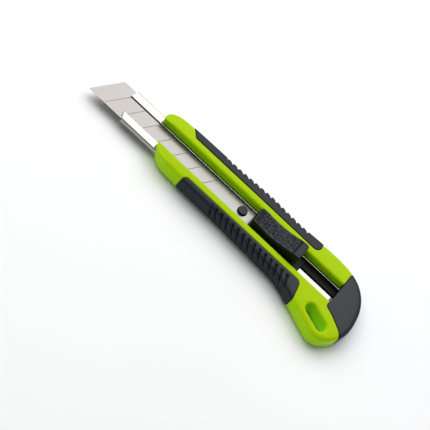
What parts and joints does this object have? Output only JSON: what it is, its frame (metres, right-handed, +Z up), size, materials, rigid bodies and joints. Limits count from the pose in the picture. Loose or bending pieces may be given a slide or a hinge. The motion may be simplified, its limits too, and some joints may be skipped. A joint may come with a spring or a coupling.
{
  "type": "utility knife",
  "caption": "Snap-off utility knife: scored blade in a steel sleeve, ribbed thumb slider, moulded handle with rubber grips, lanyard slot and pull-off end cap.",
  "frame": {"origin": "on the flat underside of the handle, below the blade's centre line, 18.9 mm behind the middle of the knife's length with the blade out two segments", "axes": "+X along the knife towards the blade's tip, +Y towards the cutting edge, +Z up out of the thumb slot"},
  "size_m": [0.1758, 0.0457, 0.016],
  "materials": {
    "green_plastic": "bright lime green moulded plastic, semi-gloss with a fine mould texture",
    "grip_rubber": "anthracite soft rubber, matte",
    "sleeve_steel": "polished stainless steel strip, folded",
    "black_nylon": "black nylon, satin",
    "blade_steel": "ground carbon steel, fine lengthwise grain, scored lines",
    "spring_steel": "bright spring steel leaf",
    "slider_plastic": "dark grey moulded plastic with a pebbled thumb pad",
    "cap_plastic": "dark grey moulded plastic, matte top and smoother sides"
  },
  "bodies": {
    "handle": {"body_shell": "green_plastic", "edge_side_grip": "grip_rubber", "spine_side_grip": "grip_rubber", "blade_sleeve": "sleeve_steel", "lock_rack": "black_nylon"},
    "carriage": {"blade": "blade_steel", "blade_carrier": "black_nylon", "lock_spring": "spring_steel"},
    "thumb": {"thumb_slider": "slider_plastic"},
    "cap": {"end_cap": "cap_plastic"}
  },
  "joints": [
    {"name": "carriage_slide", "type": "slide", "parent": "handle", "child": "carriage", "axis": [1, 0, 0], "range_m": [-0.024, 0.05]},
    {"name": "lock_release", "type": "slide", "parent": "carriage", "child": "thumb", "axis": [1, 0, 0], "range_m": [-0.0008, 0.0008], "stiffness_N_per_m": 1500},
    {"name": "cap_pull", "type": "slide", "parent": "handle", "child": "cap", "axis": [-1, 0, 0], "range_m": [0, 0.03]}
  ]
}
